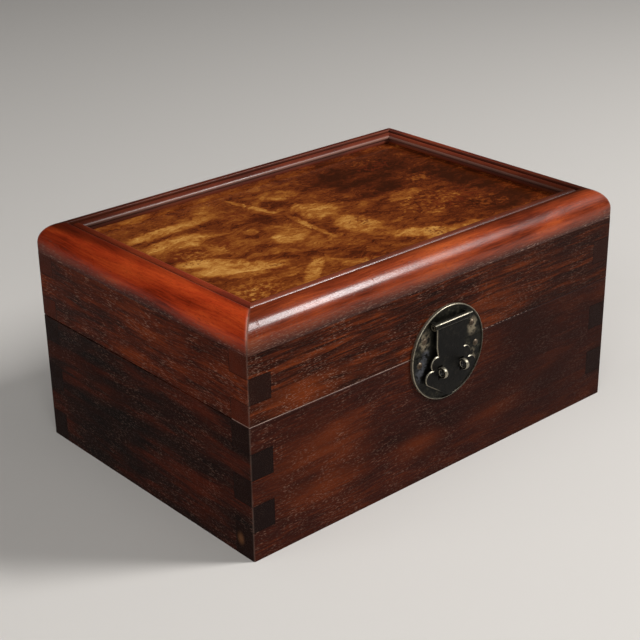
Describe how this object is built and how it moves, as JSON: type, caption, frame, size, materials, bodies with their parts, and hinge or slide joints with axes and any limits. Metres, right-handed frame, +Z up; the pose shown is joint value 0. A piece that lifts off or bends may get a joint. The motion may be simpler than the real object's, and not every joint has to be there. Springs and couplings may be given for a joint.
{
  "type": "hinged-lid glove box",
  "caption": "Finger-jointed hardwood box with a hinged lid, a mitred frame round a burl panel, and a round brass lock plate with a cloud-shaped hasp over eye posts.",
  "frame": {"origin": "middle of the flat underside", "axes": "+X to the right along the front, +Y to the back where the hinges are, +Z up"},
  "size_m": [0.3, 0.2152, 0.1452],
  "materials": {
    "front_wood": "oiled and polished, open pores",
    "side_wood": "oiled and polished, open pores",
    "lid_wood": "oiled and polished, open pores",
    "rail_wood": "high polish",
    "burl_wood": "high polish",
    "inner_wood": "bare, planed",
    "patinated_brass": "dark patina, worn at the edges",
    "worn_brass": "dull, handled"
  },
  "bodies": {
    "base": {"base_front": "front_wood", "base_back": "front_wood", "base_left": "side_wood", "base_right": "side_wood", "base_bottom": "inner_wood", "lock_plate_lower": "patinated_brass", "eye_posts": "patinated_brass", "lower_plate_nails": "worn_brass", "hinge_left_lower": "worn_brass", "hinge_right_lower": "worn_brass", "hinge_pins": "worn_brass", "lower_hinge_screws": "worn_brass"},
    "lid": {"lid_front": "lid_wood", "lid_back": "lid_wood", "lid_left": "lid_wood", "lid_right": "lid_wood", "rail_front": "rail_wood", "rail_back": "rail_wood", "rail_left": "rail_wood", "rail_right": "rail_wood", "burl_panel": "burl_wood", "lock_plate_upper": "patinated_brass", "hasp_pin": "worn_brass", "upper_plate_nails": "worn_brass", "hinge_left_upper": "worn_brass", "hinge_right_upper": "worn_brass", "upper_hinge_screws": "worn_brass"},
    "hasp": {"hasp": "patinated_brass"}
  },
  "joints": [
    {"name": "lid_hinge", "type": "hinge", "parent": "base", "child": "lid", "pos_m": [0, 0.101, 0.0843], "axis": [-1, 0, 0], "range_deg": [0, 104]},
    {"name": "hasp_hinge", "type": "hinge", "parent": "lid", "child": "hasp", "pos_m": [0, -0.1064, 0.1018], "axis": [-1, 0, 0], "range_deg": [0, 185]}
  ]
}
